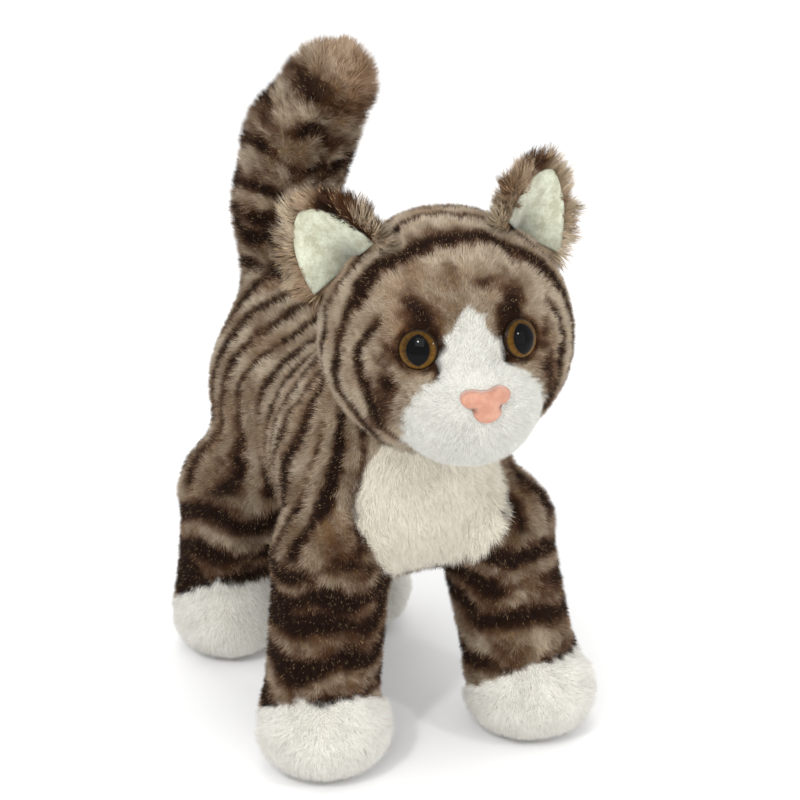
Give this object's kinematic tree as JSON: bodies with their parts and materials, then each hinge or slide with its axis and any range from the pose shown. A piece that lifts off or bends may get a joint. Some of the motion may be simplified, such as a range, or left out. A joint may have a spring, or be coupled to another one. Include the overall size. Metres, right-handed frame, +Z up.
{
  "type": "plush cat",
  "caption": "Standing stuffed toy cat of sewn pile fabric with a turning head, folding ears, a swaying tail and legs that swing at the body.",
  "frame": {"origin": "on the ground, under the middle of the toy's bounding box", "axes": "+Z up, -Y the way the toy faces, +X its own left side"},
  "size_m": [0.11, 0.1674, 0.206],
  "materials": {
    "tabby_plush": "striped grey-brown pile plush with dark brown tabby stripes",
    "white_plush": "short white pile plush",
    "cream_plush": "longer cream pile plush",
    "fibre_fill": "loose polyester fibre fill",
    "nose_felt": "pink brushed felt patch",
    "ear_felt": "smooth sage grey felt",
    "clear_plastic": "clear polished dome",
    "black_plastic": "polished black",
    "amber_plastic": "amber, darker towards the rim",
    "washer_plastic": "plain moulded"
  },
  "bodies": {
    "torso": {"body_left_panel": "tabby_plush", "body_right_panel": "tabby_plush", "belly_panel": "tabby_plush", "chest_bib": "cream_plush", "body_stuffing": "fibre_fill"},
    "neck": {"neck_stuffing": "fibre_fill"},
    "head": {"head_left_panel": "tabby_plush", "head_right_panel": "tabby_plush", "head_crown_panel": "tabby_plush", "muzzle_panel": "white_plush", "chin_panel": "white_plush", "head_stuffing": "fibre_fill", "nose": "nose_felt", "right_eye_dome": "clear_plastic", "right_eye_pupil": "black_plastic", "right_eye_back": "amber_plastic", "right_eye_washer": "washer_plastic", "left_eye_dome": "clear_plastic", "left_eye_pupil": "black_plastic", "left_eye_back": "amber_plastic", "left_eye_washer": "washer_plastic"},
    "right_ear": {"right_ear_back": "tabby_plush", "right_ear_lining": "ear_felt"},
    "left_ear": {"left_ear_back": "tabby_plush", "left_ear_lining": "ear_felt"},
    "tail": {"tail_left_panel": "tabby_plush", "tail_right_panel": "tabby_plush", "tail_stuffing": "fibre_fill"},
    "front_right_leg": {"front_right_leg_outer_panel": "tabby_plush", "front_right_leg_inner_panel": "tabby_plush", "front_right_paw": "cream_plush", "front_right_leg_stuffing": "fibre_fill"},
    "front_left_leg": {"front_left_leg_outer_panel": "tabby_plush", "front_left_leg_inner_panel": "tabby_plush", "front_left_paw": "cream_plush", "front_left_leg_stuffing": "fibre_fill"},
    "rear_right_leg": {"rear_right_leg_outer_panel": "tabby_plush", "rear_right_leg_inner_panel": "tabby_plush", "rear_right_paw": "cream_plush", "rear_right_leg_stuffing": "fibre_fill"},
    "rear_left_leg": {"rear_left_leg_outer_panel": "tabby_plush", "rear_left_leg_inner_panel": "tabby_plush", "rear_left_paw": "cream_plush", "rear_left_leg_stuffing": "fibre_fill"}
  },
  "joints": [
    {"name": "head_turn", "type": "hinge", "parent": "torso", "child": "neck", "pos_m": [0.0075, -0.0361, 0.1365], "axis": [0, 0, 1], "range_deg": [-6, 34], "stiffness_Nm_per_rad": 0.25},
    {"name": "head_nod", "type": "hinge", "parent": "neck", "child": "head", "pos_m": [0.0075, -0.0361, 0.1365], "axis": [0.9697, -0.2418, 0.0349], "range_deg": [-8, 6], "stiffness_Nm_per_rad": 0.25},
    {"name": "right_ear_fold", "type": "hinge", "parent": "head", "child": "right_ear", "pos_m": [-0.01973, -0.02842, 0.15996], "axis": [0.4342, -0.5762, 0.6924], "range_deg": [-20, 20], "stiffness_Nm_per_rad": 0.01},
    {"name": "left_ear_fold", "type": "hinge", "parent": "head", "child": "left_ear", "pos_m": [0.02981, -0.04077, 0.16533], "axis": [0.7817, 0.273, -0.5607], "range_deg": [-20, 20], "stiffness_Nm_per_rad": 0.01},
    {"name": "tail_sway", "type": "hinge", "parent": "torso", "child": "tail", "pos_m": [0, 0.0679, 0.124], "axis": [0, 1, 0], "range_deg": [-25, 25], "stiffness_Nm_per_rad": 0.1},
    {"name": "front_right_leg_swing", "type": "hinge", "parent": "torso", "child": "front_right_leg", "pos_m": [-0.028, -0.0291, 0.066], "axis": [1, 0, 0], "range_deg": [-12, 12], "stiffness_Nm_per_rad": 0.3},
    {"name": "front_left_leg_swing", "type": "hinge", "parent": "torso", "child": "front_left_leg", "pos_m": [0.028, -0.0301, 0.066], "axis": [1, 0, 0], "range_deg": [-12, 12], "stiffness_Nm_per_rad": 0.3},
    {"name": "rear_right_leg_swing", "type": "hinge", "parent": "torso", "child": "rear_right_leg", "pos_m": [-0.027, 0.0469, 0.058], "axis": [1, 0, 0], "range_deg": [-12, 12], "stiffness_Nm_per_rad": 0.3},
    {"name": "rear_left_leg_swing", "type": "hinge", "parent": "torso", "child": "rear_left_leg", "pos_m": [0.022, 0.0469, 0.058], "axis": [1, 0, 0], "range_deg": [-12, 12], "stiffness_Nm_per_rad": 0.3}
  ]
}
